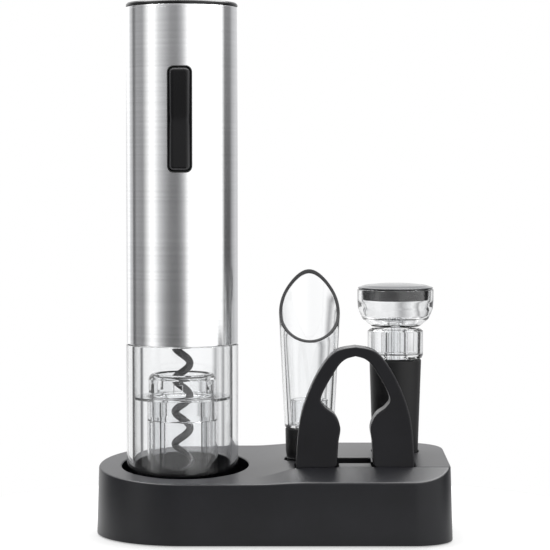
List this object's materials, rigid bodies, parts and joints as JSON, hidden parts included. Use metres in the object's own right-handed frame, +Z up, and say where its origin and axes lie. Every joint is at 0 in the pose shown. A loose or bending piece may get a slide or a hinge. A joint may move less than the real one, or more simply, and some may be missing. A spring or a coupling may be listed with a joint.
{
  "type": "electric wine opener",
  "caption": "Battery-powered steel and clear wine opener standing in a black base with a foil cutter, a wine pourer and a vacuum stopper.",
  "frame": {"origin": "middle of the base's footprint, on the surface that its feet stand on", "axes": "+X towards the accessories, -Y the side that the button faces, +Z up"},
  "size_m": [0.1578, 0.0796, 0.2373],
  "materials": {
    "shell": "fine satin texture",
    "plate": "plain matte",
    "rubber": "matte rubber",
    "screw": "bright plated steel",
    "steel": "finely brushed round the tube",
    "clear": "clear and polished",
    "inner": "plain moulded",
    "bezel": "glossy black",
    "button": "soft-touch black",
    "board": "green circuit board",
    "switch": "black",
    "cell": "plain wrapped cell with no label",
    "contact": "nickel-plated",
    "gear": "natural acetal",
    "brass": "machined",
    "can": "zinc-plated",
    "worm": "dark slick coating",
    "cutter": "satin",
    "cap": "dark satin gloss"
  },
  "bodies": {
    "stand": {"stand_shell": "shell", "stand_bottom_plate": "plate", "stand_foot_1": "rubber", "stand_foot_2": "rubber", "stand_foot_3": "rubber", "stand_foot_4": "rubber", "stand_screw_1": "screw", "stand_screw_2": "screw", "stand_screw_3": "screw", "stand_screw_4": "screw"},
    "opener": {"steel_tube": "steel", "clear_sleeve": "clear", "cork_guide": "clear", "button_bezel": "bezel", "chassis_front": "inner", "chassis_rear": "inner", "circuit_board": "board", "switch_up": "switch", "switch_down": "switch", "battery_tray": "inner", "battery_cell_1": "cell", "battery_cell_2": "cell", "battery_cell_3": "cell", "battery_cell_4": "cell", "contact_left": "contact", "contact_right": "contact", "ring_gear": "gear", "gearbox_cover": "inner", "output_bush": "brass", "gearbox_lid": "inner", "motor_can": "can"},
    "worm_drive": {"planet_carrier": "gear", "worm_screw": "worm"},
    "planet_1": {"planet_gear_1": "gear"},
    "planet_2": {"planet_gear_2": "gear"},
    "planet_3": {"planet_gear_3": "gear"},
    "pinion": {"motor_pinion": "brass"},
    "rocker": {"rocker_button": "button"},
    "battery_lid": {"battery_cap": "bezel", "cap_disc": "steel", "contact_cap": "contact"},
    "foil_cutter": {"cutter_frame": "cutter", "wheel_axle_1": "screw", "wheel_axle_2": "screw", "wheel_axle_3": "screw", "wheel_axle_4": "screw"},
    "wheel_1": {"cutting_wheel_1": "screw"},
    "wheel_2": {"cutting_wheel_2": "screw"},
    "wheel_3": {"cutting_wheel_3": "screw"},
    "wheel_4": {"cutting_wheel_4": "screw"},
    "pourer": {"pourer_tube": "clear", "pourer_insert": "clear", "pourer_seal": "rubber"},
    "stopper": {"stopper_seal": "rubber", "stopper_neck": "clear"},
    "pump_knob": {"stopper_bowl": "clear", "stopper_cap": "cap", "pump_rod": "clear"}
  },
  "joints": [
    {"name": "opener_lift", "type": "slide", "parent": "stand", "child": "opener", "axis": [0, 0, 1], "range_m": [0, 0.06]},
    {"name": "worm_spin", "type": "hinge", "parent": "opener", "child": "worm_drive", "pos_m": [-0.0406, 0, 0.1], "axis": [0, 0, 1], "continuous": true},
    {"name": "planet_spin_1", "type": "hinge", "parent": "worm_drive", "child": "planet_1", "pos_m": [-0.0301, 0, 0.104], "axis": [0, 0, 1], "continuous": true},
    {"name": "planet_spin_2", "type": "hinge", "parent": "worm_drive", "child": "planet_2", "pos_m": [-0.04585, 0.00909, 0.104], "axis": [0, 0, 1], "continuous": true},
    {"name": "planet_spin_3", "type": "hinge", "parent": "worm_drive", "child": "planet_3", "pos_m": [-0.04585, -0.00909, 0.104], "axis": [0, 0, 1], "continuous": true},
    {"name": "pinion_spin", "type": "hinge", "parent": "opener", "child": "pinion", "pos_m": [-0.0406, 0, 0.104], "axis": [0, 0, 1], "continuous": true},
    {"name": "rocker_tilt", "type": "hinge", "parent": "opener", "child": "rocker", "pos_m": [-0.0406, -0.0234, 0.1847], "axis": [1, 0, 0], "range_deg": [-3, 3], "stiffness_Nm_per_rad": 0.05},
    {"name": "battery_lid_lift", "type": "slide", "parent": "opener", "child": "battery_lid", "axis": [0, 0, 1], "range_m": [0, 0.03]},
    {"name": "cutter_lift", "type": "slide", "parent": "stand", "child": "foil_cutter", "axis": [0, 0, 1], "range_m": [0, 0.04]},
    {"name": "wheel_spin_1", "type": "hinge", "parent": "foil_cutter", "child": "wheel_1", "pos_m": [0.01931, -0.0195, 0.02379], "axis": [0, 1, 0], "continuous": true},
    {"name": "wheel_spin_2", "type": "hinge", "parent": "foil_cutter", "child": "wheel_2", "pos_m": [0.02337, -0.0195, 0.03193], "axis": [0, 1, 0], "continuous": true},
    {"name": "wheel_spin_3", "type": "hinge", "parent": "foil_cutter", "child": "wheel_3", "pos_m": [0.05269, -0.0195, 0.02379], "axis": [0, 1, 0], "continuous": true},
    {"name": "wheel_spin_4", "type": "hinge", "parent": "foil_cutter", "child": "wheel_4", "pos_m": [0.04863, -0.0195, 0.03193], "axis": [0, 1, 0], "continuous": true},
    {"name": "pourer_lift", "type": "slide", "parent": "stand", "child": "pourer", "axis": [0, 0, 1], "range_m": [0, 0.05]},
    {"name": "stopper_lift", "type": "slide", "parent": "stand", "child": "stopper", "axis": [0, 0, 1], "range_m": [0, 0.05]},
    {"name": "knob_pump", "type": "slide", "parent": "stopper", "child": "pump_knob", "axis": [0, 0, 1], "range_m": [0, 0.012]}
  ],
  "couplings": [
    {"joint": "planet_spin_1", "follows": "worm_spin", "ratio": -2.6667},
    {"joint": "planet_spin_2", "follows": "worm_spin", "ratio": -2.6667},
    {"joint": "planet_spin_3", "follows": "worm_spin", "ratio": -2.6667},
    {"joint": "pinion_spin", "follows": "worm_spin", "ratio": 5}
  ]
}
